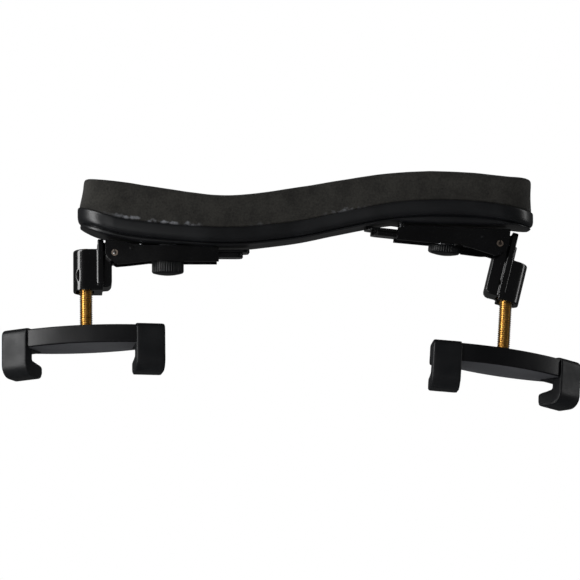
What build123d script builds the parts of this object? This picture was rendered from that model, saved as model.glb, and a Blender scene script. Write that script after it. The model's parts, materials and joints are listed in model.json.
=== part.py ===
from build123d import *
from math import cos, radians, sin
import os

# A collapsible violin shoulder rest for a full-size instrument, in millimetres.
#
# Row frame: +X along the body, +Z up from the fork feet to the foam, origin under the middle of the box.
# Body frame: the body leans about X by BODY_LEAN, its origin level with the left hinge pin.
# Unit frame: one hinge bracket, origin at its hinge pin, +X outboard. The left unit is mirrored.

# ---- body ----
BODY_LEAN = 9.0  # the pad leans against the plane of the forks
ROW_SHIFT = (-1.1891, 2.5490, 71.3570)  # from the left hinge pin to under the middle of the box
BODY_LEFT = -98.4
BODY_RIGHT = 113.2
BODY_HALF_DEPTH = 20.0
WAIST_HALF_DEPTH = 18.0
END_RADIUS = 15.0
RIM_THICK = 7.2
RIM_ROUND = 2.4
STEP_INSET = 1.2
FOAM_INSET = 0.9
FOAM_ROUND = 1.2
# the glue line between foam and shell, the top of the foam, and the two steps of the underside
GLUE_LINE = [(-98.4, 21.2), (-80.4, 15.5), (-65.0, 13.2), (-41.2, 11.2), (-23.2, 11.1), (-8.4, 12.5)]
GLUE_LINE += [(6.2, 14.5), (22.4, 17.9), (45.4, 22.2), (66.6, 23.7), (91.4, 22.5), (113.2, 18.6)]
FOAM_TOP = [(-94.8, 34.1), (-79.6, 32.7), (-66.7, 30.7), (-29.7, 26.4), (4.6, 30.5), (25.3, 33.9)]
FOAM_TOP += [(44.3, 36.6), (65.7, 37.8), (79.0, 37.3), (98.1, 35.6), (111.1, 34.4)]
LEFT_STEP = [(-96.6, 11.6), (-88.9, 8.7), (-80.0, 6.6), (-68.1, 4.6), (-50.0, 4.0), (-33.0, 4.0)]
RIGHT_STEP = [(47.0, 15.0), (54.2, 13.9), (80.0, 13.1), (103.0, 12.6), (110.6, 13.4)]

# ---- hinge brackets ----
SIDES = ("left", "right")
PIN_X = {"left": 81.5, "right": 97.1}
PIN_RISE = {"left": 0.0, "right": 4.35}
SLOPE = {"left": 0.0, "right": 6.0}  # the right track climbs towards the middle
PLATE_TOP = 1.6
PLATE_THICK = 1.4
PLATE_HALF_WIDTH = 7.6
PLATE_IN = -62.5
PLATE_OUT = -9.0
PAD_IN = -58.0
PAD_REACH = 6.0
WEB_TOP = 0.1
WEB_THICK = 2.0
WEB_OUT = -6.0
TONGUE_IN = -59.5
TONGUE_HALF_WIDTH = 6.4
CHEEK_IN = -48.0
CHEEK_TOP = {
    "left": [(4.3, 6.2), (-4.0, 4.9), (-12.0, 3.6), (-44.0, 3.4)],
    "right": [(4.3, 7.2), (-12.0, 5.9), (-28.0, 5.0), (-44.0, 3.9)],
}
CHEEK_BOTTOM = {
    "left": [(4.3, -0.6), (0.6, -4.4), (-1.2, -5.4), (-7.0, -4.9), (-16.5, -3.8), (-32.0, -4.1), (-48.0, -4.1)],
    "right": [(4.3, -0.6), (0.6, -5.2), (-1.2, -5.9), (-7.0, -4.7), (-19.4, -2.2), (-31.0, -3.0), (-48.0, -3.2)],
}
FAR_GUSSET = [(-1.2, -1.0), (-1.2, -5.0), (-7.0, -5.6), (-16.0, -5.4), (-19.0, -2.4), (-19.0, -1.0)]
CHEEK_INNER = 8.2
CHEEK_OUTER = 9.7
TRAVEL = 5.0
PIN_R = 1.5
PIN_BORE_R = 0.8
PIN_SLIT = 0.5
PIN_HALF_LENGTH = 9.9
KNUCKLE_R = 3.2
RUN_GAP = 0.05
KNOB_X = -24.8
KNOB_R = 7.4
KNOB_TOP = -3.0
KNOB_HEIGHT = {"left": 5.8, "right": 3.4}
KNOB_DOME = 1.2
FLUTES = 40
FLUTE_R = 0.42
STUD_R = 2.0
WASHER_R = 4.5
WASHER_THICK = 0.8
NUT_SIDE = 8.4
NUT_THICK = 3.0
GUIDE_SCREW_X = (-12.8, -46.0)
GUIDE_SCREW_R = 1.25
GUIDE_HEAD_R = 2.3
GUIDE_SCREW_TOP = 6.0
SPRING_IN = -16.0
SPRING_OUT = {"left": -3.2, "right": -5.0}
SPRING_THICK = 0.4

# ---- legs, screws and forks ----
FOLD_AT_REST = {"left": 0.0, "right": 15.0}
LEAN_AT_REST = {"left": 0.0, "right": -10.2}  # of the screw in its leg
YAW_AT_REST = {"left": 12.0, "right": 18.0}
SCREW_X = {"left": 13.1, "right": 8.7}
BLOCK_TOP = {"left": 1.2, "right": -6.6}
BLOCK_HEIGHT = {"left": 19.5, "right": 19.8}
BLOCK_OUT = {"left": 19.0, "right": 15.8}
LOBE_IN = {"left": 1.2, "right": -1.0}
BLOCK_HALF_DEPTH = 6.2
BLOCK_ROUND = 5.7
LEG_PLATE_IN = 5.0
LEG_PLATE_OUT = 7.8
LEG_PLATE_TOP = {"left": 5.8, "right": 6.4}
LEG_PLATE_HALF_WIDTH = 6.8
NUT_HEIGHT = {"left": -11.2, "right": -18.5}  # of the swivel nut, from the hinge pin
SWIVEL_R = 4.2
SWIVEL_HALF_LENGTH = 5.0
SCREW_R = 3.0
THREAD_PITCH = 1.0
THREAD_DEPTH = 0.55
SCREW_ABOVE_BAR = 38.0
BAR_BELOW_NUT = {"left": 24.8, "right": 31.6}
ANCHOR_R = 3.6
ANCHOR_DEPTH = 7.0
LEAN_OUT = 12.0  # how far the screw's foot may lean outboard in the leg, and inboard
LEAN_IN = 3.0
RAISE = {"left": 6.0, "right": 7.0}  # how far the screw may still be turned up into the leg
BAR_THICK = 8.5
BAR_MIDDLE_HALF_DEPTH = 12.0
FOOT_X = {1: 30.4, -1: 29.2}  # of the outer and the inner foot, from the screw
FOOT_TURN = 19.0
FOOT_WIDTH = 13.6
FOOT_HALF_DEPTH = 7.25
FOOT_TOP = 1.0
FOOT_SOLE = -21.4
RUBBER = 2.0
THROAT_BACK = -1.5
JAW_UNDER = -9.2
LIP_IN = -13.8
LIP_OUT = -15.2
BACK_ROUND = 3.2  # the corner radii of the hook, from its top round its back and lip
HEEL_ROUND = 6.0
LIP_ROUND = 2.4
TIP_ROUND = 0.9
SIDE_ROUND = 0.8


def block(x0, x1, half_depth, z0, z1):
    """A plain block, centred on y = 0."""
    return Pos((x0 + x1) / 2, 0, (z0 + z1) / 2) * Box(x1 - x0, 2 * half_depth, z1 - z0)


def upright(radius, z0, z1, x=0.0):
    """A cylinder along Z."""
    return Pos(x, 0, (z0 + z1) / 2) * Cylinder(radius, z1 - z0)


def across(radius, half_length, x=0.0, z=0.0):
    """A cylinder along Y, centred on y = 0."""
    return Pos(x, 0, z) * Rot(90, 0, 0) * Cylinder(radius, 2 * half_length)


def slab(edges, half_depth):
    """A solid of an outline in X and Z, between y = -half_depth and half_depth."""
    return Pos(0, -half_depth, 0) * extrude(make_face(edges), 2 * half_depth, dir=(0, 1, 0))


def outline(points):
    """A closed outline of straight edges in X and Z."""
    return Polyline(*[(x, 0, z) for x, z in points], close=True)


def between(upper, lower, lower_drop=0.0):
    """The outline between two long smooth curves in X and Z."""
    top = Spline(*[(x, 0, z) for x, z in upper])
    bottom = Spline(*[(x, 0, z - lower_drop) for x, z in lower])
    return top + Line(top @ 1, bottom @ 1) + bottom + Line(bottom @ 0, top @ 0)


# ---- body ----


def body_plan(inset=0.0):
    """The outline of the body from above, as a tall prism."""
    left, right = BODY_LEFT + inset, BODY_RIGHT - inset
    middle, quarter = (left + right) / 2, (right - left) / 4
    wide, waist = BODY_HALF_DEPTH - inset, WAIST_HALF_DEPTH - inset
    near = [(left, 1.0 - wide), (middle - quarter, -wide), (middle, -waist)]
    near += [(middle + quarter, -wide), (right, 1.0 - wide)]
    far = [(x, -y) for x, y in reversed(near)]
    edges = Spline(*near) + Line(near[-1], far[0]) + Spline(*far) + Line(far[-1], near[0])
    face = make_face(edges)
    ends = [v for v in face.vertices() if min(abs(v.X - left), abs(v.X - right)) < 0.1]
    return Pos(0, 0, -80) * extrude(fillet(ends, END_RADIUS - inset), 160)


def rim():
    """The S-curved tray with its rounded side wall."""
    solid = slab(between(GLUE_LINE, GLUE_LINE, RIM_THICK), 40) & body_plan()
    low = [e for e in solid.edges() if on_lower_side(e)]
    return fillet(low, RIM_ROUND)


def on_lower_side(edge):
    """Whether an edge of the rim runs round its underside."""
    samples = [edge @ t for t in (0.1, 0.5, 0.9)]
    return all(glue_height(p.X) - p.Z > 0.75 * RIM_THICK for p in samples)


def glue_height(x):
    """The height of the glue line at x."""
    for (x0, z0), (x1, z1) in zip(GLUE_LINE, GLUE_LINE[1:]):
        if x <= x1:
            return z0 + (z1 - z0) * (x - x0) / (x1 - x0)
    return GLUE_LINE[-1][1]


def step(line):
    """The thicker platform under one end of the body."""
    over = [(x, glue_height(x) - RIM_THICK / 2) for x, _ in line]
    return slab(between(over, line), 40) & body_plan(STEP_INSET)


def track_pad():
    """The flat pad that the guide plate is screwed to."""
    return block(PAD_IN, PLATE_OUT, PLATE_HALF_WIDTH, PLATE_TOP, PLATE_TOP + PAD_REACH)


def nut_pocket():
    """The room in the pad for the clamping nut and its travel."""
    half = NUT_SIDE / 2 + TRAVEL + 1.0
    return block(KNOB_X - half, KNOB_X + half, NUT_SIDE / 2 + 0.3, PLATE_TOP, PLATE_TOP + NUT_THICK + 0.8)


def unit_loc(side):
    """From one unit's frame to the body frame."""
    return Pos(PIN_X[side], 0, PIN_RISE[side]) * Rot(0, SLOPE[side], 0)


def hand(shape, side):
    """Both units are modelled outboard to +X, and the left one is mirrored."""
    return mirror(shape, about=Plane.YZ) if side == "left" else shape


def in_row(shape):
    """From the body frame to the row frame."""
    return Rot(BODY_LEAN, 0, 0) * shape


def shell():
    """The moulded body with its two steps, pads, nut pockets and screw holes."""
    solid = rim() + step(LEFT_STEP) + step(RIGHT_STEP)
    for side in SIDES:
        solid += hand(unit_loc(side) * track_pad(), side)
    for side in SIDES:
        cut = nut_pocket()
        for x in GUIDE_SCREW_X:
            cut += guide_screw(x)
        solid -= hand(unit_loc(side) * cut, side)
    return solid


def foam_pad():
    """The cellular foam cushion on the tray."""
    under = [(x, z - RIM_THICK / 2) for x, z in GLUE_LINE]
    solid = slab(between(FOAM_TOP, under), 40) & body_plan(FOAM_INSET)
    solid -= slab(between(GLUE_LINE, GLUE_LINE, RIM_THICK), 40)
    top = [e for e in solid.edges() if all(foam_over(e @ t) < 0.4 for t in (0.1, 0.5, 0.9))]
    return fillet(top, FOAM_ROUND)


def foam_over(point):
    """How far a point is below the top of the foam."""
    for (x0, z0), (x1, z1) in zip(FOAM_TOP, FOAM_TOP[1:]):
        if point.X <= x1:
            return abs(z0 + (z1 - z0) * (point.X - x0) / (x1 - x0) - point.Z)
    return abs(FOAM_TOP[-1][1] - point.Z)


# ---- bracket ----


def guide_plate():
    """A thin plate with a slot for the stud."""
    plate = block(PLATE_IN, PLATE_OUT, PLATE_HALF_WIDTH, PLATE_TOP - PLATE_THICK, PLATE_TOP)
    plate = fillet(plate.edges().filter_by(Axis.Z), 3.0)
    slot = block(KNOB_X - TRAVEL, KNOB_X + TRAVEL, STUD_R + 0.3, -2, 4)
    for x in (KNOB_X - TRAVEL, KNOB_X + TRAVEL):
        slot += upright(STUD_R + 0.3, -2, 4, x)
    plate -= slot
    for x in GUIDE_SCREW_X:
        plate -= guide_screw(x)
    return plate


def guide_screw(x):
    """A small countersunk screw, its head flush in the guide plate."""
    face = PLATE_TOP - PLATE_THICK
    cone = Pos(x, 0, face + 0.55) * Cone(GUIDE_HEAD_R, GUIDE_SCREW_R, 1.1)
    return cone + upright(GUIDE_SCREW_R, face + 1.1, GUIDE_SCREW_TOP, x)


def guide_screws():
    """The four countersunk screws of the two guide plates."""
    screws = []
    for side in SIDES:
        for x in GUIDE_SCREW_X:
            slit = Pos(x, 0, PLATE_TOP - PLATE_THICK) * Box(2 * GUIDE_HEAD_R, 0.6, 0.8)
            screws.append(in_row(hand(unit_loc(side) * (guide_screw(x) - slit), side)))
    return Compound(children=screws)


def slider(side):
    """The channel bracket: web, tongue and two cheeks with the ears for the hinge pin."""
    low = WEB_TOP - WEB_THICK
    web = block(CHEEK_IN, WEB_OUT, CHEEK_OUTER, low, WEB_TOP)
    tongue = block(TONGUE_IN, CHEEK_IN, TONGUE_HALF_WIDTH, low, WEB_TOP)
    tongue = fillet(tongue.edges().filter_by(Axis.Z).sort_by(Axis.X)[:2], 3.0)
    points = [*CHEEK_BOTTOM[side], (CHEEK_IN, 2.2), *reversed(CHEEK_TOP[side])]
    cheeks = slab(outline(points), CHEEK_OUTER)
    if side == "right":
        gusset = Pos(0, CHEEK_OUTER / 2, 0) * slab(outline(FAR_GUSSET), CHEEK_OUTER / 2)
        cheeks += gusset
    solid = web + tongue + (cheeks - block(-70, 10, CHEEK_INNER, -10, 10))
    solid -= across(PIN_R, 12)
    solid -= upright(STUD_R + 0.1, -5, 5, KNOB_X)
    rivet = Pos(-7.9, 0, 2.2) * Rot(90, 0, 0) * Cylinder(0.9, 2 * CHEEK_OUTER + 0.6)
    return solid + (rivet - block(-70, 10, CHEEK_INNER, -10, 10))


def roll_pin():
    """The hollow slit spring pin of the hinge."""
    slit = Pos(0, 0, PIN_R) * Box(PIN_SLIT, 30, 2 * PIN_R)
    pin = across(PIN_R, PIN_HALF_LENGTH) - across(PIN_BORE_R, 12)
    return pin - slit


def leaf_spring(side):
    """The flat spring under the web that presses on the hinge knuckle."""
    low = WEB_TOP - WEB_THICK
    strip = block(SPRING_IN, SPRING_OUT[side], 4.0, low - SPRING_THICK, low)
    return fillet(strip.edges().filter_by(Axis.Z), 1.5)


def washer():
    """The plain washer between knob and web."""
    low = WEB_TOP - WEB_THICK
    return upright(WASHER_R, low - WASHER_THICK, low, KNOB_X) - upright(STUD_R + 0.1, -9, 9, KNOB_X)


def clamp_nut():
    """The square nut in its pocket above the guide plate."""
    nut = block(KNOB_X - NUT_SIDE / 2, KNOB_X + NUT_SIDE / 2, NUT_SIDE / 2, PLATE_TOP, PLATE_TOP + NUT_THICK)
    nut = chamfer(nut.edges().filter_by(Axis.Z), 0.6)
    return nut - upright(STUD_R + RUN_GAP, -9, 9, KNOB_X)


def knob_stud(side):
    """The threaded stud moulded into the knob."""
    bottom, top = KNOB_TOP - KNOB_HEIGHT[side] + 1.5, PLATE_TOP + NUT_THICK - 0.2
    profile = Polyline((0, bottom), (STUD_R, bottom), (STUD_R, top - 0.5), (STUD_R - 0.5, top), (0, top), close=True)
    return Pos(KNOB_X, 0, 0) * revolve(Rot(90, 0, 0) * make_face(profile), Axis.Z)


def knob(side):
    """The fluted clamping knob with its domed end."""
    low = KNOB_TOP - KNOB_HEIGHT[side]
    points = [(0, KNOB_TOP), (KNOB_R - 0.4, KNOB_TOP), (KNOB_R, KNOB_TOP - 0.4), (KNOB_R, low + 0.5)]
    points += [(KNOB_R * t, low - KNOB_DOME * (1 - t * t)) for t in (0.93, 0.75, 0.5, 0.25, 0.0)]
    solid = revolve(Rot(90, 0, 0) * make_face(Polyline(*points, close=True)), Axis.Z)
    flutes = [loc * Cylinder(FLUTE_R, 30) for loc in PolarLocations(KNOB_R + 0.12, FLUTES)]
    solid = Pos(KNOB_X, 0, 0) * (solid - flutes)
    return solid - knob_stud(side)


# ---- leg and fork ----


def pin_spot(side):
    """The hinge pin's middle in the row frame, with +X outboard."""
    lean, rise = radians(BODY_LEAN), PIN_RISE[side]
    return Pos(PIN_X[side], -rise * sin(lean), rise * cos(lean))


def folded(side):
    """From a leg's own frame, straight down from its pin, to the row frame."""
    about_pin = Rot(BODY_LEAN, 0, 0) * Rot(0, FOLD_AT_REST[side], 0) * Rot(-BODY_LEAN, 0, 0)
    return pin_spot(side) * about_pin


def leaning(side):
    """From a screw's own frame, with its origin at the swivel nut, to the row frame."""
    return folded(side) * Pos(SCREW_X[side], 0, NUT_HEIGHT[side]) * Rot(0, LEAN_AT_REST[side], 0)


def turned(side):
    """From a fork's own frame, with its origin on top of the bar at the screw, to the row frame."""
    return leaning(side) * Pos(0, 0, -BAR_BELOW_NUT[side]) * Rot(0, 0, YAW_AT_REST[side])


def leg(side):
    """The moulded leg: knuckle, flat plate and the block that holds the swivel nut."""
    x, top = SCREW_X[side], BLOCK_TOP[side]
    foot = top - BLOCK_HEIGHT[side]
    knuckle = across(KNUCKLE_R, CHEEK_INNER - 0.4)
    arm = block(0, LEG_PLATE_IN + 0.5, LEG_PLATE_HALF_WIDTH - 1.2, -5.0, LEG_PLATE_TOP[side] - 1.2)
    solid = Rot(BODY_LEAN, 0, 0) * (knuckle + arm)
    plate = block(LEG_PLATE_IN, LEG_PLATE_OUT, LEG_PLATE_HALF_WIDTH, foot + 2.0, LEG_PLATE_TOP[side])
    solid += fillet(plate.edges().filter_by(Axis.X), 1.6)
    barrel = block(LEG_PLATE_IN + 0.5, BLOCK_OUT[side], BLOCK_HALF_DEPTH, foot, top)
    barrel = fillet(barrel.edges().filter_by(Axis.Z).sort_by(Axis.X)[-2:], BLOCK_ROUND)
    solid += fillet(barrel.faces().sort_by(Axis.Z)[-1].edges(), 0.7)
    lobe = block(LOBE_IN[side], x, BLOCK_HALF_DEPTH - 1.0, foot + 1.6, 0.0)
    solid += fillet(lobe.edges().filter_by(Axis.Y).sort_by(Axis.Z)[:2].sort_by(Axis.X)[:1], 2.6)
    return solid - leg_openings(side, foot) - Rot(BODY_LEAN, 0, 0) * across(PIN_R + RUN_GAP, 12)


def leg_openings(side, foot):
    """The slot that lets the screw lean, and the cross bore of the swivel nut."""
    x, z = SCREW_X[side], NUT_HEIGHT[side]
    up = SCREW_ABOVE_BAR - BAR_BELOW_NUT[side] + RAISE[side] + 1.5
    down, clear = z - foot + 3, SCREW_R + 0.25
    out, back = sin(radians(LEAN_OUT)), sin(radians(LEAN_IN))
    slot = [(x + clear + down * out, z - down), (x + clear, z), (x + clear + up * back, z + up)]
    slot += [(x - clear - up * out, z + up), (x - clear, z), (x - clear - down * back, z - down)]
    cut = slab(outline(slot), SCREW_R + 0.3)
    bore = Pos(0, (BLOCK_HALF_DEPTH - SWIVEL_HALF_LENGTH) / 2 + 0.4, 0)
    return cut + bore * across(SWIVEL_R + RUN_GAP, (BLOCK_HALF_DEPTH + SWIVEL_HALF_LENGTH) / 2 + 0.6, x, z)


def swivel_nut():
    """The cross-drilled barrel nut, about its own middle."""
    barrel = across(SWIVEL_R, SWIVEL_HALF_LENGTH)
    barrel = chamfer(barrel.edges().filter_by(GeomType.CIRCLE), 0.4)
    return barrel - upright(SCREW_R + RUN_GAP, -9, 9)


def screw():
    """The brass height screw from its anchor in the bar, with its origin on top of the bar."""
    points = [(0, -ANCHOR_DEPTH), (ANCHOR_R, -ANCHOR_DEPTH), (ANCHOR_R, -1.2), (SCREW_R, -0.8)]
    turns = int((SCREW_ABOVE_BAR - 1.5) / THREAD_PITCH)
    for i in range(turns):
        z = 0.4 + i * THREAD_PITCH
        points += [(SCREW_R, z), (SCREW_R - THREAD_DEPTH, z + 0.45 * THREAD_PITCH)]
    points += [(SCREW_R, 0.4 + turns * THREAD_PITCH), (SCREW_R - 0.7, SCREW_ABOVE_BAR), (0, SCREW_ABOVE_BAR)]
    return revolve(Rot(90, 0, 0) * make_face(Polyline(*points, close=True)), Axis.Z)


def anchor_bore():
    """The stepped bore in the bar that the screw's anchor turns in."""
    wide, neck = ANCHOR_R + RUN_GAP, SCREW_R + RUN_GAP
    points = [(0, -ANCHOR_DEPTH - RUN_GAP), (wide, -ANCHOR_DEPTH - RUN_GAP), (wide, -1.2 + RUN_GAP)]
    points += [(neck, -0.8 + RUN_GAP), (neck, 1.0), (0, 1.0)]
    return revolve(Rot(90, 0, 0) * make_face(Polyline(*points, close=True)), Axis.Z)


def hook_profile(inset):
    """The hook's rounded outline in Y and Z, drawn in by the thickness of the rubber."""
    back, tip, throat = -FOOT_HALF_DEPTH + inset, FOOT_HALF_DEPTH - inset, THROAT_BACK - inset
    corners = [(back, FOOT_TOP - inset, BACK_ROUND), (tip, FOOT_TOP - inset, TIP_ROUND)]
    corners += [(tip, JAW_UNDER + inset, TIP_ROUND), (throat, JAW_UNDER + inset, 0.0)]
    corners += [(throat, LIP_IN - inset, 0.0), (tip, LIP_OUT - inset, TIP_ROUND)]
    corners += [(tip, FOOT_SOLE + inset, LIP_ROUND), (back, FOOT_SOLE + inset, HEEL_ROUND)]
    face = make_face(Polyline(*[(0, y, z) for y, z, _ in corners], close=True))
    for y, z, size in corners:
        if size > inset:
            near = [v for v in face.vertices() if abs(v.Y - y) < 0.01 and abs(v.Z - z) < 0.01]
            face = fillet(near, size - inset)
    return face


def hook(inset, half_width):
    """One foot's hook, about the middle of its width."""
    return extrude(hook_profile(inset), half_width, dir=(1, 0, 0), both=True)


def foot_loc(way):
    """Where a foot stands on the bar, way = 1 for the outer and -1 for the inner one."""
    return Pos(way * FOOT_X[way], 0, 0) * Rot(0, 0, way * FOOT_TURN)


def fork_bar():
    """The cross bar, deepest at the screw, with the hard cores of the two hooks."""
    end = FOOT_X[1] - 1.0
    near = ThreePointArc((-end, -FOOT_HALF_DEPTH + 0.6), (0, -BAR_MIDDLE_HALF_DEPTH), (end, -FOOT_HALF_DEPTH + 0.6))
    far = ThreePointArc((end, FOOT_HALF_DEPTH - 0.6), (0, BAR_MIDDLE_HALF_DEPTH), (-end, FOOT_HALF_DEPTH - 0.6))
    plan = make_face(near + Line(near @ 1, far @ 0) + far + Line(far @ 1, near @ 0))
    bar = extrude(plan, -BAR_THICK)
    bar = fillet(bar.edges().filter_by(Plane.XY).filter_by(GeomType.CIRCLE), 0.7)
    for way in (-1, 1):
        bar -= foot_loc(way) * Pos(way * FOOT_WIDTH / 2, 0, 0) * Box(FOOT_WIDTH, 60, 60)
        bar += foot_loc(way) * hook(RUBBER, FOOT_WIDTH / 2 - RUBBER)
    return bar - anchor_bore()


def fork_foot(way, bar):
    """The rubber sleeve on one hook, softer along its outer side."""
    solid = hook(0.0, FOOT_WIDTH / 2)
    sides = solid.faces().filter_by(Axis.X).sort_by(Axis.X)
    outer = sides[-1] if way > 0 else sides[0]
    solid = fillet(outer.edges(), SIDE_ROUND)
    return foot_loc(way) * solid - bar


# ---- all nodes ----


def unit_nodes(side):
    """The nodes of one end, in the row frame."""
    on_track = {
        "guide_plate": guide_plate(),
        "slider": slider(side),
        "roll_pin": roll_pin(),
        "leaf_spring": leaf_spring(side),
        "washer": washer(),
        "clamp_nut": clamp_nut(),
        "knob_stud": knob_stud(side),
        "knob": knob(side),
    }
    nodes = {name: in_row(hand(unit_loc(side) * solid, side)) for name, solid in on_track.items()}
    bar = fork_bar()
    nodes["leg"] = hand(folded(side) * leg(side), side)
    nodes["swivel_nut"] = hand(leaning(side) * swivel_nut(), side)
    nodes["screw"] = hand(turned(side) * screw(), side)
    nodes["fork_bar"] = hand(turned(side) * bar, side)
    nodes["outer_foot"] = hand(turned(side) * fork_foot(1, bar), side)
    nodes["inner_foot"] = hand(turned(side) * fork_foot(-1, bar), side)
    return {f"{side}_{name}": solid for name, solid in nodes.items()}


def main():
    """Writes one STEP file for each node."""
    os.makedirs("parts", exist_ok=True)
    nodes = {"shell": in_row(shell()), "foam_pad": in_row(foam_pad()), "guide_screws": guide_screws()}
    for side in SIDES:
        nodes.update(unit_nodes(side))
    for name, solid in nodes.items():
        export_step(Pos(*ROW_SHIFT) * solid, f"parts/{name}.step")


main()
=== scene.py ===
"""A collapsible violin shoulder rest: foam pad, moulded shell, folding legs and rubber-hooked forks.

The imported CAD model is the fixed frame. The foam and the shell are modelled here. Legs and feet are softened
copies of their CAD nodes, the other hard parts are edge-rounded copies, and the small metal parts keep their
CAD meshes.
"""

import bisect
import json
import logging
import math
from collections.abc import Callable, Iterable
from dataclasses import dataclass, field
from enum import Enum

import bmesh
import bpy
from mathutils import Matrix, Vector


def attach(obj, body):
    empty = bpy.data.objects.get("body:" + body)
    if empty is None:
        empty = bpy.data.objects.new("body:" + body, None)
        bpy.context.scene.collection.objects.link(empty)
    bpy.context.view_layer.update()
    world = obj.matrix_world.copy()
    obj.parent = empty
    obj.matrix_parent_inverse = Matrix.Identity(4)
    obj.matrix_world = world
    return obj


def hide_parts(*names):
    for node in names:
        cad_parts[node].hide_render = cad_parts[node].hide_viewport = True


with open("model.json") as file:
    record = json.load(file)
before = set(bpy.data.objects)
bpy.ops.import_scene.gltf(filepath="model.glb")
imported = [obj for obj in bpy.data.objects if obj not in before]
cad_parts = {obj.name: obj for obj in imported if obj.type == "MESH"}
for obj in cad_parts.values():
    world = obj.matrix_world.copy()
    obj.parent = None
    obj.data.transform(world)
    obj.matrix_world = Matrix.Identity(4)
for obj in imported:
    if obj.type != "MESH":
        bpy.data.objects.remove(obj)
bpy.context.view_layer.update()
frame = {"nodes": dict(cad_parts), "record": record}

LOG = logging.getLogger("shoulder_rest")
MM = 0.001
SMOOTH_ANGLE = math.radians(30)  # faces that meet at more than this keep a crisp edge

NOISE = "ShaderNodeTexNoise"
MATH = "ShaderNodeMath"
RAMP = "ShaderNodeMapRange"
MIX = "ShaderNodeMix"
BUMP = "ShaderNodeBump"

Height = Callable[[float, float], float]  # from x and y in the body frame to z there, in millimetres


class Side(Enum):
    """The two ends of the rest."""

    LEFT = "left"
    RIGHT = "right"


# ---------------------------------------------------------------- small helpers


def joint(name: str) -> dict:
    """Finds one joint of the record.

    Args:
        name: The joint's name.

    Returns:
        The joint's entry.
    """
    return next(j for j in frame["record"]["behaviour"]["joints"] if j["name"] == name)


def linear(code: str) -> tuple[float, float, float, float]:
    """Turns an sRGB hex colour to linear.

    Args:
        code: Six hex digits after a hash.

    Returns:
        Red, green, blue and an alpha of 1.
    """
    parts = [int(code[i : i + 2], 16) / 255 for i in (1, 3, 5)]
    turned = [c / 12.92 if c <= 0.04045 else ((c + 0.055) / 1.055) ** 2.4 for c in parts]
    return (turned[0], turned[1], turned[2], 1.0)


def ease(x: float, low: float, high: float) -> float:
    """A smooth ramp from 0 at low to 1 at high.

    Args:
        x: Where to read it.
        low: Where the ramp starts.
        high: Where the ramp ends.

    Returns:
        A number from 0 to 1.
    """
    t = min(1.0, max(0.0, (x - low) / (high - low)))
    return t * t * (3 - 2 * t)


@dataclass(frozen=True)
class Curve:
    """A smooth height line through stations along the body, in millimetres."""

    points: tuple[tuple[float, float], ...]

    def slope(self, i: int) -> float:
        """The line's slope at station i."""
        low, high = max(0, i - 1), min(len(self.points) - 1, i + 1)
        (x0, z0), (x1, z1) = self.points[low], self.points[high]
        return (z1 - z0) / (x1 - x0)

    def at(self, x: float) -> float:
        """The line's height at x, run on straight past its ends."""
        stations = [p[0] for p in self.points]
        if x <= stations[0]:
            return self.points[0][1] + self.slope(0) * (x - stations[0])
        if x >= stations[-1]:
            return self.points[-1][1] + self.slope(len(stations) - 1) * (x - stations[-1])
        i = bisect.bisect_right(stations, x) - 1
        (x0, z0), (x1, z1) = self.points[i], self.points[i + 1]
        run, t = x1 - x0, (x - x0) / (x1 - x0)
        start, end = self.slope(i) * run, self.slope(i + 1) * run
        bend = (2 * t**3 - 3 * t**2 + 1) * z0 + (t**3 - 2 * t**2 + t) * start
        return bend + (3 * t**2 - 2 * t**3) * z1 + (t**3 - t**2) * end


def scale_of(size_mm: float) -> float:
    """The texture scale that makes a grain this many millimetres wide."""
    return 1 / (size_mm * MM)


def add(
    tree: bpy.types.NodeTree, kind: str, inputs: dict | None = None, **settings: object
) -> bpy.types.Node:
    """Adds a node, sets it up and links it.

    Args:
        tree: The node tree.
        kind: The node's type.
        inputs: Socket names or places, each with a value or with the socket that feeds it.
        **settings: The node's own properties.

    Returns:
        The new node.
    """
    node = tree.nodes.new(kind)
    for name, value in settings.items():
        setattr(node, name, value)
    for name, value in (inputs or {}).items():
        if isinstance(value, bpy.types.NodeSocket):
            tree.links.new(value, node.inputs[name])
        else:
            node.inputs[name].default_value = value
    return node


def select_only(piece: bpy.types.Object) -> None:
    """Deselects everything and makes one piece the active one."""
    bpy.ops.object.select_all(action="DESELECT")
    piece.select_set(True)
    bpy.context.view_layer.objects.active = piece


def apply_modifiers(piece: bpy.types.Object) -> None:
    """Applies every modifier of a piece, first to last."""
    select_only(piece)
    for modifier in list(piece.modifiers):
        bpy.ops.object.modifier_apply(modifier=modifier.name)


# ---------------------------------------------------------------- finishes


@dataclass(frozen=True)
class Finish:
    """A finish with its shader's settings. Each kind adds its own grain."""

    name: str
    colour: str
    roughness: float
    metallic: float = 0.0

    def material(self) -> bpy.types.Material:
        """Makes the material, or finds the one made before."""
        known = bpy.data.materials.get(self.name)
        if known:
            return known
        made = bpy.data.materials.new(self.name)
        made.use_nodes = True
        tree = made.node_tree
        shader = tree.nodes["Principled BSDF"]
        shader.inputs["Metallic"].default_value = self.metallic
        shader.inputs["Roughness"].default_value = self.roughness
        shader.inputs["Base Color"].default_value = linear(self.colour)
        made.diffuse_color = linear(self.colour)
        self.grain(tree, shader, add(tree, "ShaderNodeTexCoord").outputs["Object"])
        return made

    def grain(self, tree: bpy.types.NodeTree, shader: bpy.types.Node, place: bpy.types.NodeSocket) -> None:
        """Adds the finish's own pattern. A plain finish has none."""


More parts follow.
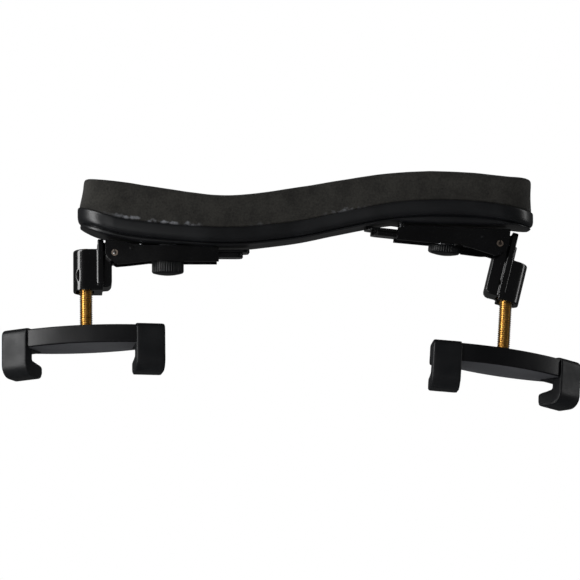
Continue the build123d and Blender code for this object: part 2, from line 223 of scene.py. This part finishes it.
@dataclass(frozen=True)
class MouldedPlastic(Finish):
    """Injection-moulded plastic: a faint orange peel from the mould, and soft patches of handling marks.

    The peel and the bloom are drawn coarser than the real ones, which would be too fine to show.
    """

    peel_mm: float = 1.4
    peel_depth_mm: float = 0.01
    patch_mm: float = 16.0
    bloom_mm: float = 0.7
    patch: float = 0.06
    light: str = "#3a3d42"
    light_share: float = 0.25
    coat: float = 0.0
    shine: float = 0.5

    def grain(self, tree: bpy.types.NodeTree, shader: bpy.types.Node, place: bpy.types.NodeSocket) -> None:
        """Peel as bump, patches as roughness and a faint lighter bloom."""
        peel = add(tree, NOISE, {"Vector": place, "Scale": scale_of(self.peel_mm), "Detail": 3.0})
        wide = add(tree, NOISE, {"Vector": place, "Scale": scale_of(self.patch_mm), "Detail": 4.0})
        fine = add(tree, NOISE, {"Vector": place, "Scale": scale_of(self.bloom_mm), "Detail": 2.0})
        low, high = self.roughness - self.patch, self.roughness + self.patch
        rough = add(tree, RAMP, {0: wide.outputs["Fac"], 1: 0.35, 2: 0.65, 3: low, 4: high})
        bloom = add(tree, MATH, {0: wide.outputs["Fac"], 1: fine.outputs["Fac"]}, operation="MULTIPLY")
        share = add(tree, RAMP, {0: bloom.outputs[0], 1: 0.2, 2: 0.42, 3: 0.0, 4: self.light_share})
        tint = {"Factor": share.outputs[0], 6: linear(self.colour), 7: linear(self.light)}
        mix = add(tree, MIX, tint, data_type="RGBA")
        depth = self.peel_depth_mm * MM
        bump = add(tree, BUMP, {"Height": peel.outputs["Fac"], "Strength": 1.0, "Distance": depth})
        tree.links.new(mix.outputs[2], shader.inputs["Base Color"])
        tree.links.new(rough.outputs[0], shader.inputs["Roughness"])
        tree.links.new(bump.outputs[0], shader.inputs["Normal"])
        shader.inputs["IOR"].default_value = 1.54
        shader.inputs["Specular IOR Level"].default_value = self.shine
        shader.inputs["Coat Weight"].default_value = self.coat
        shader.inputs["Coat Roughness"].default_value = 0.12


@dataclass(frozen=True)
class CellularFoam(Finish):
    """Closed-cell foam, sawn and skived: mottled cells, sparse pits darkened with painted shade, and a broken
    smear of dried glue.
    """

    dark: str = "#1a1917"
    glue: str = "#76787d"
    mottle_mm: float = 7.0
    cell_mm: float = 0.9
    pit_mm: float = 3.4
    smear_mm: float = 2.2
    stretch_mm: float = 34.0

    def grain(self, tree: bpy.types.NodeTree, shader: bpy.types.Node, place: bpy.types.NodeSocket) -> None:
        """Cells as colour and bump, pits as bump and as painted shade that darkens the colour in them, and
        glue where the piece's glue attribute says.
        """
        mottle = add(tree, NOISE, {"Vector": place, "Scale": scale_of(self.mottle_mm), "Detail": 6.0})
        cells = add(tree, NOISE, {"Vector": place, "Scale": scale_of(self.cell_mm), "Detail": 3.0})
        both = add(tree, MATH, {0: mottle.outputs["Fac"], 1: cells.outputs["Fac"]}, operation="ADD")
        share = add(tree, RAMP, {0: both.outputs[0], 1: 0.78, 2: 1.2, 3: 0.0, 4: 1.0})
        tint = {"Factor": share.outputs[0], 6: linear(self.dark), 7: linear(self.colour)}
        body = add(tree, MIX, tint, data_type="RGBA")
        spread = {"Vector": place, "Scale": scale_of(self.pit_mm), "Randomness": 1.0}
        pits = add(tree, "ShaderNodeTexVoronoi", spread)
        pit = add(tree, RAMP, {0: pits.outputs["Distance"], 1: 0.07, 2: 0.13, 3: 0.55, 4: 1.0})
        # Painted shade: the colour is multiplied down to 0.55 in the middle of each pit, where shade would
        # fall.
        pit_shade_grey = add(tree, "ShaderNodeCombineColor", dict.fromkeys((0, 1, 2), pit.outputs[0]))
        pit_shade_inputs = {"Factor": 1.0, 6: body.outputs[2], 7: pit_shade_grey.outputs[0]}
        pit_shaded = add(tree, MIX, pit_shade_inputs, data_type="RGBA", blend_type="MULTIPLY")
        shown = self.smear(tree, place)
        glued = {"Factor": shown, 6: pit_shaded.outputs[2], 7: linear(self.glue)}
        last = add(tree, MIX, glued, data_type="RGBA")
        height = add(tree, MATH, {0: cells.outputs["Fac"], 1: pit.outputs[0]}, operation="ADD")
        bump = add(tree, BUMP, {"Height": height.outputs[0], "Strength": 0.5, "Distance": 0.25 * MM})
        tree.links.new(last.outputs[2], shader.inputs["Base Color"])
        tree.links.new(bump.outputs[0], shader.inputs["Normal"])
        shader.inputs["Specular IOR Level"].default_value = 0.25
        shader.inputs["Sheen Weight"].default_value = 0.06

    def smear(self, tree: bpy.types.NodeTree, place: bpy.types.NodeSocket) -> bpy.types.NodeSocket:
        """How much glue shows: ragged along the line, and only on some stretches of it."""
        line = add(tree, "ShaderNodeAttribute", attribute_name="glue")
        ragged = add(tree, NOISE, {"Vector": place, "Scale": scale_of(self.smear_mm), "Detail": 4.0})
        edge = add(tree, MATH, {0: line.outputs["Fac"], 1: ragged.outputs["Fac"]}, operation="MULTIPLY")
        laid = add(tree, RAMP, {0: edge.outputs[0], 1: 0.4, 2: 0.62, 3: 0.0, 4: 1.0})
        stretch = add(tree, NOISE, {"Vector": place, "Scale": scale_of(self.stretch_mm), "Detail": 1.0})
        part = add(tree, RAMP, {0: stretch.outputs["Fac"], 1: 0.5, 2: 0.62, 3: 0.0, 4: 0.75})
        return add(tree, MATH, {0: laid.outputs[0], 1: part.outputs[0]}, operation="MULTIPLY").outputs[0]


@dataclass(frozen=True)
class HookRubber(Finish):
    """Moulded nitrile rubber: a fine matt grain with a slight polish where hands touch it."""

    grain_mm: float = 0.6
    worn: str = "#121315"
    worn_mm: float = 9.0
    polish: float = 0.08

    def grain(self, tree: bpy.types.NodeTree, shader: bpy.types.Node, place: bpy.types.NodeSocket) -> None:
        """Grain as bump, and patches of polish."""
        fine = add(tree, NOISE, {"Vector": place, "Scale": scale_of(self.grain_mm), "Detail": 3.0})
        wide = add(tree, NOISE, {"Vector": place, "Scale": scale_of(self.worn_mm), "Detail": 3.0})
        low, high = self.roughness - self.polish, self.roughness + self.polish
        rough = add(tree, RAMP, {0: wide.outputs["Fac"], 1: 0.3, 2: 0.7, 3: low, 4: high})
        tint = {"Factor": wide.outputs["Fac"], 6: linear(self.colour), 7: linear(self.worn)}
        mix = add(tree, MIX, tint, data_type="RGBA")
        bump = add(tree, BUMP, {"Height": fine.outputs["Fac"], "Strength": 0.6, "Distance": 0.03 * MM})
        tree.links.new(mix.outputs[2], shader.inputs["Base Color"])
        tree.links.new(rough.outputs[0], shader.inputs["Roughness"])
        tree.links.new(bump.outputs[0], shader.inputs["Normal"])
        shader.inputs["IOR"].default_value = 1.52
        shader.inputs["Specular IOR Level"].default_value = 0.3


@dataclass(frozen=True)
class TurnedMetal(Finish):
    """Turned or drawn metal: fine tool marks and a slight change of tone from tarnish."""

    tarnish: str = "#8a6a3a"
    tarnish_mm: float = 5.0
    mark_mm: float = 0.5

    def grain(self, tree: bpy.types.NodeTree, shader: bpy.types.Node, place: bpy.types.NodeSocket) -> None:
        """Tool marks as roughness and bump, tarnish as colour."""
        marks = add(tree, NOISE, {"Vector": place, "Scale": scale_of(self.mark_mm), "Detail": 4.0})
        wide = add(tree, NOISE, {"Vector": place, "Scale": scale_of(self.tarnish_mm), "Detail": 4.0})
        share = add(tree, RAMP, {0: wide.outputs["Fac"], 1: 0.45, 2: 0.75, 3: 0.0, 4: 0.5})
        tint = {"Factor": share.outputs[0], 6: linear(self.colour), 7: linear(self.tarnish)}
        mix = add(tree, MIX, tint, data_type="RGBA")
        low, high = self.roughness - 0.06, self.roughness + 0.1
        rough = add(tree, RAMP, {0: marks.outputs["Fac"], 1: 0.3, 2: 0.7, 3: low, 4: high})
        bump = add(tree, BUMP, {"Height": marks.outputs["Fac"], "Strength": 0.1, "Distance": 0.01 * MM})
        tree.links.new(mix.outputs[2], shader.inputs["Base Color"])
        tree.links.new(rough.outputs[0], shader.inputs["Roughness"])
        tree.links.new(bump.outputs[0], shader.inputs["Normal"])


@dataclass(frozen=True)
class LitPaper(Finish):
    """White background paper that its own lamps keep evenly pale."""

    glow: float = 0.78
    tooth_mm: float = 4.0

    def grain(self, tree: bpy.types.NodeTree, shader: bpy.types.Node, place: bpy.types.NodeSocket) -> None:
        """A faint tooth in the paper, and the glow of its lamps."""
        tooth = add(tree, NOISE, {"Vector": place, "Scale": scale_of(self.tooth_mm), "Detail": 2.0})
        bump = add(tree, BUMP, {"Height": tooth.outputs["Fac"], "Strength": 0.2, "Distance": 0.1 * MM})
        tree.links.new(bump.outputs[0], shader.inputs["Normal"])
        shader.inputs["Emission Color"].default_value = linear(self.colour)
        shader.inputs["Emission Strength"].default_value = self.glow


# Dull charcoal that scatters the light, faintly mottled
FOAM = CellularFoam("closed-cell foam, skived", "#272623", 0.95, dark="#1a1917")
# Near black with broad soft highlights along the rounded wall
SHELL_ABS = MouldedPlastic("satin ABS, moulded", "#08090b", 0.38, light="#121419")
# Black from a polished die, so the edges catch narrow bright lines
BRACKET_ABS = MouldedPlastic("gloss ABS, moulded", "#030304", 0.2, patch=0.05, light="#08090b")
# The glossiest parts, with long clean reflections under a clear skin
LEG_ABS = MouldedPlastic("polished acetal, moulded", "#040405", 0.2, patch=0.04, light="#0a0b0d", coat=0.3)
# Satin, so that the flutes read as soft stripes
KNOB_ABS = MouldedPlastic("fluted ABS, moulded", "#050608", 0.36, light="#0e1013", shine=0.35)
BAR_NYLON = MouldedPlastic("satin nylon, moulded", "#08080a", 0.4, light="#111214", shine=0.3)
# A matt grey that is painted light from below: the down-facing faces are clearly lighter than the bar's sides
BAR_UNDERSIDE_PAINTED_LIGHT = MouldedPlastic(
    "nylon underside, painted light from below", "#333437", 0.62, light="#454649", peel_depth_mm=0.03
)
# Soft black with a dull polish on the bends
RUBBER = HookRubber("nitrile rubber, moulded", "#0a0b0d", 0.46)
# Warm gold that flashes between bright and brown from thread to thread
BRASS = TurnedMetal("yellow brass, turned", "#ecca8c", 0.28, 1.0, tarnish="#b08a4c")
PIN_STEEL = TurnedMetal("spring steel, copper flashed", "#c9b9ab", 0.3, 1.0, tarnish="#94796a")
# The swivel nuts. Their real finish isn't known. This one hides the places where the CAD bore, by a fault,
# opens through the wall of each leg; a bright nut would show there.
BLACKED_STEEL = TurnedMetal("blacked steel, turned", "#1b1b1c", 0.4, 1.0, tarnish="#26221f")
ZINC = TurnedMetal("zinc-plated steel", "#a9abae", 0.32, 1.0, tarnish="#7f8184")
PAPER = LitPaper("white background paper", "#f4f4f4", 0.9)


def dress(piece: bpy.types.Object, *finishes: Finish) -> None:
    """Gives a piece its finishes in place of any it had.

    Args:
        piece: The object to dress.
        *finishes: One finish for each material slot, first to last.
    """
    piece.data.materials.clear()
    for finish in finishes:
        piece.data.materials.append(finish.material())


# ---------------------------------------------------------------- the body: foam and shell


@dataclass
class Ring:
    """One closed line round the body: how far it stands in from the plan, and its height."""

    inset: float
    height: Height
    shrink: float = 0.0  # 1 draws the ring in to the body's middle line
    glue: float = 0.0


@dataclass
class Body:
    """The leaning body with its glue line, foam top and underside, in millimetres in its own frame."""

    left: float = -98.4
    right: float = 113.2
    end_radius: float = 15.0
    foam_inset: float = 0.9
    wall: float = 7.2
    bead: float = 0.8
    hinge_out: float = 81.5  # the left hinge pin, outboard of the body's origin
    core_margin: float = 20.0  # how far short of its ends the body's middle line stops
    long_steps: int = 110
    corner_steps: int = 12
    half_depth: Curve = Curve(((-98.4, 19.0), (-45.5, 20.0), (7.4, 18.0), (60.3, 20.0), (113.2, 19.0)))
    glue_line: Curve = Curve(
        (
            (-98.4, 21.2), (-80.4, 15.5), (-65.0, 13.2), (-41.2, 11.2), (-23.2, 11.1), (-8.4, 12.5),
            (6.2, 14.5), (22.4, 17.9), (45.4, 22.2), (66.6, 23.7), (91.4, 22.5), (113.2, 18.6),
        )
    )  # fmt: skip
    foam_top: Curve = Curve(
        (
            (-94.8, 34.1), (-79.6, 32.7), (-66.7, 30.7), (-29.7, 26.4), (4.6, 30.5), (25.3, 33.9),
            (44.3, 36.6), (65.7, 37.8), (79.0, 37.3), (98.1, 35.6), (111.1, 34.4),
        )
    )  # fmt: skip
    left_step: Curve = Curve(
        ((-96.6, 11.6), (-88.9, 8.7), (-80.0, 6.6), (-68.1, 4.6), (-50.0, 4.0), (-33.0, 4.0))
    )
    right_step: Curve = Curve(((47.0, 15.0), (54.2, 13.9), (80.0, 13.1), (103.0, 12.6), (110.6, 13.4)))

    def __post_init__(self) -> None:
        """Finds the body's frame from the left leg's hinge."""
        hinge = joint("left_leg_fold")
        self.origin = Vector(hinge["pos_m"]) / MM + Vector((self.hinge_out, 0, 0))
        self.lean = math.atan2(-hinge["axis"][2], -hinge["axis"][1])

    def placed(self, x: float, y: float, z: float) -> Vector:
        """From the body's frame in millimetres to the row frame in metres."""
        across = y * math.cos(self.lean) - z * math.sin(self.lean)
        up = y * math.sin(self.lean) + z * math.cos(self.lean)
        return (self.origin + Vector((x, across, up))) * MM

    def plan(self) -> list[tuple[float, float, float, float]]:
        """The outline from above.

        Returns:
            Points round the outline, each x, y and the outward direction there.
        """
        radius, points = self.end_radius, []
        x0, x1 = self.left + radius, self.right - radius
        count = self.long_steps
        for i in range(count + 1):
            x = x0 + (x1 - x0) * i / count
            points.append((x, -self.half_depth.at(x), 0.0, -1.0))
        flat = self.half_depth.at(self.right) - radius
        points += self.corner(x1, -flat, -90)
        points += [(self.right, y, 1.0, 0.0) for y in (-flat / 2, 0.0, flat / 2)]
        points += self.corner(x1, flat, 0)
        for i in range(count + 1):
            x = x1 - (x1 - x0) * i / count
            points.append((x, self.half_depth.at(x), 0.0, 1.0))
        points += self.corner(x0, flat, 90)
        points += [(self.left, y, -1.0, 0.0) for y in (flat / 2, 0.0, -flat / 2)]
        points += self.corner(x0, -flat, 180)
        return points

    def corner(self, x: float, y: float, start: float) -> list[tuple[float, float, float, float]]:
        """One rounded corner of the outline, without its ends."""
        points = []
        for i in range(1, self.corner_steps):
            turn = math.radians(start + 90 * i / self.corner_steps)
            way = (math.cos(turn), math.sin(turn))
            points.append((x + self.end_radius * way[0], y + self.end_radius * way[1], *way))
        return points

    def spot(self, point: tuple[float, float, float, float], ring: Ring) -> tuple[float, float]:
        """Where a ring passes, seen from above.

        Args:
            point: A point of the outline with its outward direction.
            ring: The ring.

        Returns:
            x and y in the body frame.
        """
        x, y = point[0] - point[2] * ring.inset, point[1] - point[3] * ring.inset
        core = min(self.right - self.core_margin, max(self.left + self.core_margin, x))
        return x + (core - x) * ring.shrink, y * (1 - ring.shrink)

    def loft(self, name: str, rings: list[Ring]) -> bpy.types.Object:
        """Starts from a circle, extrudes it ring by ring and closes both ends on the middle line.

        Args:
            name: The piece's name.
            rings: The rings from first to last; the first and last have shrink 1.

        Returns:
            The closed piece in the row frame.
        """
        plan = self.plan()
        bpy.ops.object.select_all(action="DESELECT")
        bpy.ops.mesh.primitive_circle_add(vertices=len(plan), radius=0.1, fill_type="NOTHING")
        piece = bpy.context.object
        piece.name = piece.data.name = name
        bpy.ops.object.mode_set(mode="EDIT")
        mesh = bmesh.from_edit_mesh(piece.data)
        place, glue = mesh.verts.layers.int.new("place"), mesh.verts.layers.float.new("glue")
        mesh.verts.ensure_lookup_table()
        for i, vert in enumerate(mesh.verts):
            vert[place] = i
        for number, ring in enumerate(rings):
            if number:
                bpy.ops.mesh.extrude_edges_move()
                mesh = bmesh.from_edit_mesh(piece.data)
                place, glue = mesh.verts.layers.int["place"], mesh.verts.layers.float["glue"]
            for vert in mesh.verts:
                if vert.select:
                    x, y = self.spot(plan[vert[place]], ring)
                    vert.co = self.placed(x, y, ring.height(x, y))
                    vert[glue] = ring.glue
            bmesh.update_edit_mesh(piece.data)
        bpy.ops.mesh.select_all(action="SELECT")
        bpy.ops.mesh.remove_doubles(threshold=0.02 * MM)
        bpy.ops.mesh.normals_make_consistent(inside=False)
        bpy.ops.object.mode_set(mode="OBJECT")
        select_only(piece)
        bpy.ops.object.shade_smooth()
        return piece

    def below(self, drop: float) -> Height:
        """A height that runs below the glue line by drop."""
        return lambda x, y: self.glue_line.at(x) - drop

    def platform(self, share: float) -> Height:
        """A height on the wall of the stepped platform, from 0 at its root to 1 at its underside."""
        return lambda x, y: self.glue_line.at(x) - self.wall - share * self.step_depth(x)

    def step_depth(self, x: float) -> float:
        """How far the platform stands below the wall, never less than the bead along the middle."""
        depth = self.bead
        for step in (self.left_step, self.right_step):
            if step.points[0][0] - 2 <= x <= step.points[-1][0] + 2:
                depth = max(depth, self.glue_line.at(x) - self.wall - step.at(x))
        return depth

    def shell(self) -> bpy.types.Object:
        """The moulded shell: a rounded wall, a groove, and the platform under it."""
        rings = [Ring(1.6, self.below(0.1), shrink) for shrink in (1.0, 0.6, 0.25)]
        rings += [Ring(1.6, self.below(0.0)), Ring(0.7, self.below(0.0)), Ring(0.25, self.below(0.12))]
        wall = [(0.05, 0.5), (0.0, 1.2), (0.0, 2.6), (0.0, 3.9), (0.1, 4.9), (0.3, 5.7)]
        wall += [(0.65, 6.35), (1.1, 6.75)]
        rings += [Ring(inset, self.below(drop)) for inset, drop in wall]
        rings += [Ring(1.6, self.below(6.97)), Ring(2.1, self.below(7.0)), Ring(2.1, self.below(7.15))]
        foot = ((1.6, 0.08), (1.3, 0.3), (1.2, 0.62), (1.35, 0.88), (1.9, 1.0), (3.0, 1.0))
        rings += [Ring(inset, self.platform(share)) for inset, share in foot]
        rings += [Ring(3.0, self.platform(1.0), shrink) for shrink in (0.2, 0.45, 0.7, 0.9, 1.0)]
        piece = self.loft("shell_moulding", rings)
        dress(piece, SHELL_ABS)
        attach(piece, "body")
        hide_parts("shell")
        return piece

    def crown(self, drop: float) -> Height:
        """A height below the foam's top, slightly crowned across."""
        return lambda x, y: self.foam_top.at(x) - drop - 0.7 * (y / 18.0) ** 4

    def side_wall(self, share: float) -> Height:
        """A height on the foam's side, from 0 at the glue line to 1 at the top."""
        return lambda x, y: self.glue_line.at(x) + share * (self.foam_top.at(x) - 2.3 - self.glue_line.at(x))

    def foam(self) -> bpy.types.Object:
        """The foam pad: soft edges round a crowned top, and sides that pull in a little."""
        inset = self.foam_inset
        rings = [Ring(inset + 2.0, self.crown(0.0), shrink) for shrink in (1.0, 0.85, 0.65, 0.45, 0.25, 0.1)]
        edge = ((2.0, 0.0), (1.25, 0.08), (0.65, 0.32), (0.25, 0.72), (0.05, 1.25))
        rings += [Ring(inset + more, self.crown(drop)) for more, drop in edge]
        for share in (1.0, 0.85, 0.7, 0.5, 0.3, 0.15):
            pull = 0.3 * math.sin(math.pi * share)
            rings.append(Ring(inset + pull, self.side_wall(share), glue=ease(share, 0.3, 0.05)))
        rings.append(Ring(inset + 0.05, self.side_wall(0.06), glue=1.0))
        rings.append(Ring(inset + 0.2, self.side_wall(0.0), glue=1.0))
        rings += [Ring(inset + 0.6, self.side_wall(0.0), shrink) for shrink in (0.0, 0.3, 0.65, 1.0)]
        piece = self.loft("foam_cushion", rings)
        self.slant_left_end(piece)
        self.settle_surface(piece)
        dress(piece, FOAM)
        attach(piece, "body")
        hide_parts("foam_pad")
        return piece

    def slant_left_end(self, piece: bpy.types.Object) -> None:
        """Leans the foam's low end inwards towards the top, as it was sawn."""
        for vert in piece.data.vertices:
            x, _, z = self.local(vert.co)
            high = ease(z, self.glue_line.at(x), self.foam_top.at(x))
            near = ease(-x, 78.0, 97.0)
            vert.co.x += 2.0 * high * near * MM

    def local(self, co: Vector) -> tuple[float, float, float]:
        """From the row frame in metres to the body frame in millimetres."""
        spot = co / MM - self.origin
        across = spot.y * math.cos(self.lean) + spot.z * math.sin(self.lean)
        up = -spot.y * math.sin(self.lean) + spot.z * math.cos(self.lean)
        return spot.x, across, up

    def settle_surface(self, piece: bpy.types.Object) -> None:
        """Gives the foam its slight unevenness with a soft, broad displacement."""
        texture = bpy.data.textures.new("foam_unevenness", "CLOUDS")
        texture.noise_scale = 14 * MM
        bend = piece.modifiers.new("unevenness", "DISPLACE")
        bend.texture, bend.strength, bend.mid_level, bend.texture_coords = texture, 0.5 * MM, 0.5, "LOCAL"
        apply_modifiers(piece)


# ---------------------------------------------------------------- hard parts


@dataclass
class Moulding:
    """A copy of a CAD node, worked up to the finish of the real part."""

    node: str

    def build(self) -> bpy.types.Object:
        """Copies and merges the node's mesh and rounds its edges.

        Returns:
            The new piece, not yet dressed.
        """
        source = frame["nodes"][self.node]
        piece = bpy.data.objects.new(f"{self.node}_moulding", source.data.copy())
        bpy.context.scene.collection.objects.link(piece)
        piece.data.materials.clear()
        select_only(piece)
        bpy.ops.object.mode_set(mode="EDIT")
        bpy.ops.mesh.select_all(action="SELECT")
        bpy.ops.mesh.remove_doubles(threshold=0.004 * MM)
        bpy.ops.mesh.dissolve_limited(angle_limit=math.radians(1.0))
        bpy.ops.object.mode_set(mode="OBJECT")
        self.round_edges(piece)
        return piece

    def round_edges(self, piece: bpy.types.Object) -> None:
        """Each kind of moulding rounds its edges in its own way."""

    def finished(self, body: str, slot: str, *finishes: Finish) -> bpy.types.Object:
        """Args:
            body: The CAD body it rides on.
            slot: The record's material slot; not used.
            *finishes: Its finishes.

        Returns:
            The finished piece.
        """
        piece = self.build()
        dress(piece, *finishes)
        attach(piece, body)
        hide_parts(self.node)
        return piece


@dataclass
class CrispMoulding(Moulding):
    """A hard part with the small even radius that its die gives every edge."""

    width: float = 0.4
    segments: int = 3
    angle: float = 32.0

    def round_edges(self, piece: bpy.types.Object) -> None:
        """Bevels the sharp edges and keeps the flat faces flat."""
        bevel = piece.modifiers.new("edge_radius", "BEVEL")
        bevel.width, bevel.segments = self.width * MM, self.segments
        bevel.limit_method, bevel.angle_limit = "ANGLE", math.radians(self.angle)
        bevel.use_clamp_overlap, bevel.harden_normals = True, False
        bevel.miter_outer = "MITER_ARC"
        apply_modifiers(piece)
        select_only(piece)
        bpy.ops.object.shade_smooth_by_angle(angle=SMOOTH_ANGLE)
        weighted = piece.modifiers.new("flat_faces_first", "WEIGHTED_NORMAL")
        weighted.keep_sharp = True
        apply_modifiers(piece)


@dataclass
class SoftMoulding(Moulding):
    """A heavily radiused or rubber part, whose every edge is soft."""

    skin_mm: float = 0.4
    rounds: int = 16

    def round_edges(self, piece: bpy.types.Object) -> None:
        """Gives the part an even skin and smooths it."""
        even = piece.modifiers.new("even_skin", "REMESH")
        even.mode, even.voxel_size = "VOXEL", self.skin_mm * MM
        soft = piece.modifiers.new("soft_edges", "SMOOTH")
        soft.factor, soft.iterations = 0.5, self.rounds
        apply_modifiers(piece)
        select_only(piece)
        bpy.ops.object.shade_smooth()


@dataclass
class Unit:
    """One end's hardware: bracket, knob, leg, screw and fork."""

    side: Side
    faces_down: float = 0.97  # the cosine past which a face belongs to the bar's underside, which gets the painted light from below
    metal: dict[str, Finish] = field(
        default_factory=lambda: {
            "roll_pin": PIN_STEEL,
            "leaf_spring": ZINC,
            "washer": ZINC,
            "clamp_nut": ZINC,
            "knob_stud": ZINC,
            "swivel_nut": BLACKED_STEEL,
            "screw": BRASS,
        }
    )

    def named(self, part: str) -> str:
        """The node or body name of one part on this side."""
        return f"{self.side.value}_{part}"

    def build(self) -> list[bpy.types.Object]:
        """Builds every visible piece of this end.

        Returns:
            The new pieces.
        """
        for part, finish in self.metal.items():
            node = frame["nodes"][self.named(part)]
            dress(node, finish)
            select_only(node)
            bpy.ops.object.shade_smooth_by_angle(angle=SMOOTH_ANGLE)
        pieces = [self.bracket(), self.plate(), self.knob(), self.leg(), self.bar()]
        return pieces + [self.foot("outer"), self.foot("inner")]

    def bracket(self) -> bpy.types.Object:
        """The channel bracket with its two cheeks."""
        part = CrispMoulding(self.named("slider"), 0.35)
        return part.finished(self.named("slider"), "bracket", BRACKET_ABS)

    def plate(self) -> bpy.types.Object:
        """The thin guide plate."""
        part = CrispMoulding(self.named("guide_plate"), 0.25, 2)
        return part.finished("body", "bracket", BRACKET_ABS)

    def knob(self) -> bpy.types.Object:
        """The fluted clamping knob."""
        part = CrispMoulding(self.named("knob"), 0.12, 2, 40.0)
        return part.finished(self.named("knob"), "knob", KNOB_ABS)

    def leg(self) -> bpy.types.Object:
        """The folding leg with its screw block."""
        part = SoftMoulding(self.named("leg"), 0.3, 8)
        return part.finished(self.named("leg"), "leg", LEG_ABS)

    def bar(self) -> bpy.types.Object:
        """The fork's cross bar, with painted light from below: its down-facing faces get a lighter grey."""
        part = CrispMoulding(self.named("fork_bar"), 0.5)
        piece = part.finished(self.named("fork"), "fork", BAR_NYLON, BAR_UNDERSIDE_PAINTED_LIGHT)
        down = -Vector(joint(self.named("fork_turn"))["axis"])
        # Painted light: faces that face down get the lighter grey, as if lit from below.
        for face in piece.data.polygons:
            face.material_index = int(face.normal.dot(down) > self.faces_down)
        return piece

    def foot(self, which: str) -> bpy.types.Object:
        """One rubber hook."""
        part = SoftMoulding(self.named(f"{which}_foot"))
        return part.finished(self.named("fork"), "foot_rubber", RUBBER)


# ---------------------------------------------------------------- studio


@dataclass(frozen=True)
class Softbox:
    """One oblong soft light: its place and size in metres and its power in watts."""

    name: str
    place: tuple[float, float, float]
    size: tuple[float, float]
    power: float

    def hang(self, target: Vector) -> None:
        """Hangs the light in its place, facing the target."""
        data = bpy.data.lights.new(self.name, "AREA")
        data.shape = "RECTANGLE"
        data.size, data.size_y = self.size
        data.energy = self.power
        light = bpy.data.objects.new(self.name, data)
        bpy.context.scene.collection.objects.link(light)
        light.location = self.place
        light.rotation_euler = (target - Vector(self.place)).to_track_quat("-Z", "Y").to_euler()


SOFTBOXES = (
    Softbox("key", (-1.0, -0.75, 0.75), (0.6, 0.6), 8.0),
    Softbox("low_front", (-0.45, -1.3, -0.2), (0.5, 0.3), 1.0),
    Softbox("left_strip", (-1.05, -0.4, 0.1), (0.4, 0.9), 9.0),
    Softbox("right_strip", (1.1, 0.0, 0.35), (0.25, 0.8), 2.0),
)


@dataclass
class Studio:
    """A pale floor, soft light and the camera, which looks up at the rest a little from its left.

    Lengths are in metres unless their name says otherwise.
    """

    distance: float = 1.9
    elevation: float = -13.0
    azimuth: float = 4.0
    frame_width: float = 0.26854
    roll: float = 0.9
    right_of_hinge_mm: float = 81.39
    below_hinge_mm: float = 16.6
    floor_level: float = -0.62
    floor_size: float = 12.0
    room_light: float = 0.06  # what the white room gives the rest, against 1 for what is seen of it
    lit_height: float = 0.06  # the middle of the rest, where the softboxes point

    def build(self) -> None:
        """Builds the camera, the floor and the lights."""
        self.camera()
        self.floor()
        self.lights()

    def directions(self) -> tuple[Vector, Vector, Vector]:
        """The camera's forward, right and up directions."""
        turn, tilt = math.radians(self.azimuth), math.radians(-self.elevation)
        forward = Vector((math.sin(turn) * math.cos(tilt), math.cos(turn) * math.cos(tilt), math.sin(tilt)))
        level = Vector((math.cos(turn), -math.sin(turn), 0))
        roll = math.radians(self.roll)
        right = level * math.cos(roll) - level.cross(forward) * math.sin(roll)
        return forward, right, right.cross(forward)

    def camera(self) -> None:
        """Places the camera on the line through the middle of its frame."""
        forward, right, up = self.directions()
        hinge = Vector(joint("left_leg_fold")["pos_m"])
        aim = hinge + (right * self.right_of_hinge_mm - up * self.below_hinge_mm) * MM
        data = bpy.data.cameras.new("camera")
        data.lens = data.sensor_width * self.distance / self.frame_width
        data.clip_end = 2 * self.floor_size
        camera = bpy.data.objects.new("camera", data)
        bpy.context.scene.collection.objects.link(camera)
        camera.location = aim - forward * self.distance
        camera.rotation_euler = Matrix((right, up, -forward)).transposed().to_euler()
        bpy.context.scene.camera = camera

    def floor(self) -> None:
        """A plain pale floor, well below the rest."""
        bpy.ops.object.select_all(action="DESELECT")
        bpy.ops.mesh.primitive_plane_add(size=self.floor_size, location=(0, 0, self.floor_level))
        floor = bpy.context.object
        floor.name = "floor"
        floor.visible_glossy = False
        dress(floor, PAPER)

    def lights(self) -> None:
        """Softboxes high on the left, low in front and at both sides, in a white room."""
        for box in SOFTBOXES:
            box.hang(Vector((0, 0, self.lit_height)))
        world = bpy.data.worlds.new("white_room")
        bpy.context.scene.world = world
        world.use_nodes = True
        tree = world.node_tree
        sky = tree.nodes["Background"]
        sky.inputs["Color"].default_value = (1, 1, 1, 1)
        seen = add(tree, "ShaderNodeLightPath")
        share = {0: seen.outputs["Is Camera Ray"], 1: 0.0, 2: 1.0, 3: self.room_light, 4: 1.0}
        strength = add(tree, RAMP, share)
        tree.links.new(strength.outputs[0], sky.inputs["Strength"])
        bpy.context.scene.view_settings.view_transform = "Standard"


# ---------------------------------------------------------------- all together


def main() -> None:
    """Builds the rest from the pad down, then the studio."""
    logging.basicConfig(level=logging.INFO, format="%(message)s")
    body = Body()
    pieces = [body.shell(), body.foam()]
    dress(frame["nodes"]["guide_screws"], ZINC)
    for side in Side:
        pieces += Unit(side).build()
    for piece in pieces:
        LOG.info("built %s with %d faces", piece.name, len(piece.data.polygons))
    Studio().build()


if __name__ == "__main__":
    main()
